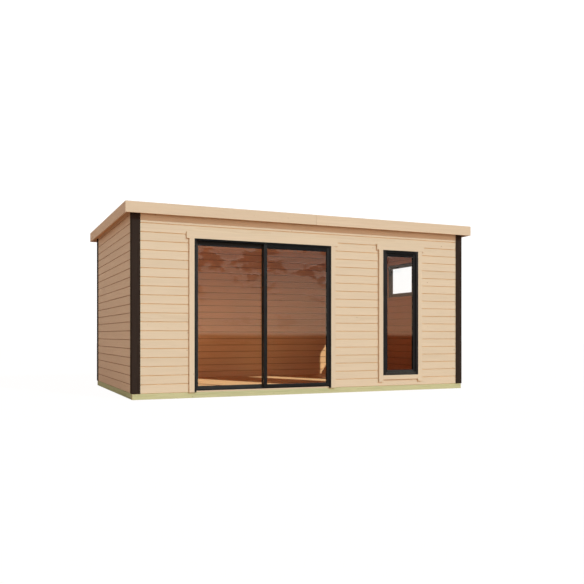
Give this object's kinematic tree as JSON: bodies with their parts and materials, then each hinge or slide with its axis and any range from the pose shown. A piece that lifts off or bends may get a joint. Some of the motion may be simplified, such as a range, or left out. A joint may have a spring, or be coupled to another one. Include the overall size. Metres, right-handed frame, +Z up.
{
  "type": "garden office pod",
  "caption": "Flat-roofed log-wall garden office pod with dark corner posts, a sliding glass door, a tall narrow window and a high end window.",
  "frame": {"origin": "on the ground under the middle of the roof's outline", "axes": "+X to the right along the front, +Y from the front towards the back, +Z up"},
  "size_m": [5.248, 3.11, 2.486],
  "materials": {
    "spruce": "planed untreated spruce",
    "treated_timber": "green pressure-treated pine",
    "stained_post": "dark brown stained timber",
    "dark_frame": "satin anthracite powder coat",
    "glass": "clear double glazing",
    "roof_membrane": "dark roofing membrane"
  },
  "bodies": {
    "cabin": {"base_long_beams": "treated_timber", "base_cross_beams": "treated_timber", "floor_boards": "spruce", "front_wall_left": "spruce", "front_wall_middle": "spruce", "front_wall_right": "spruce", "front_wall_over_door": "spruce", "front_wall_over_window": "spruce", "front_wall_under_window": "spruce", "left_wall": "spruce", "back_wall": "spruce", "right_wall_beside_window": "spruce", "right_wall_over_and_under_window": "spruce", "front_corner_posts": "stained_post", "back_corner_posts": "stained_post", "roof_purlins": "spruce", "roof_boards": "spruce", "roof_covering": "roof_membrane", "fascia_front": "spruce", "fascia_back": "spruce", "fascia_sides": "spruce", "door_threshold": "spruce", "door_frame_jambs": "dark_frame", "door_frame_head": "dark_frame", "door_frame_track": "dark_frame", "tall_window_frame_jambs": "dark_frame", "tall_window_frame_rails": "dark_frame", "tall_window_sash_stiles": "dark_frame", "tall_window_sash_rails": "dark_frame", "tall_window_glass": "glass", "side_window_frame_jambs": "dark_frame", "side_window_frame_rails": "dark_frame", "side_window_sash_stiles": "dark_frame", "side_window_sash_rails": "dark_frame", "side_window_glass": "glass", "front_trim_uprights": "spruce", "front_trim_headers_and_sill": "spruce", "side_trim_uprights": "spruce", "side_trim_header_and_sill": "spruce"},
    "left_leaf": {"left_leaf_stiles": "dark_frame", "left_leaf_rails": "dark_frame", "left_leaf_glass": "glass"},
    "right_leaf": {"right_leaf_stiles": "dark_frame", "right_leaf_rails": "dark_frame", "right_leaf_glass": "glass"}
  },
  "joints": [
    {"name": "left_leaf_slide", "type": "slide", "parent": "cabin", "child": "left_leaf", "axis": [1, 0, 0], "range_m": [0, 0.95]},
    {"name": "right_leaf_slide", "type": "slide", "parent": "cabin", "child": "right_leaf", "axis": [-1, 0, 0], "range_m": [0, 0.95]}
  ]
}
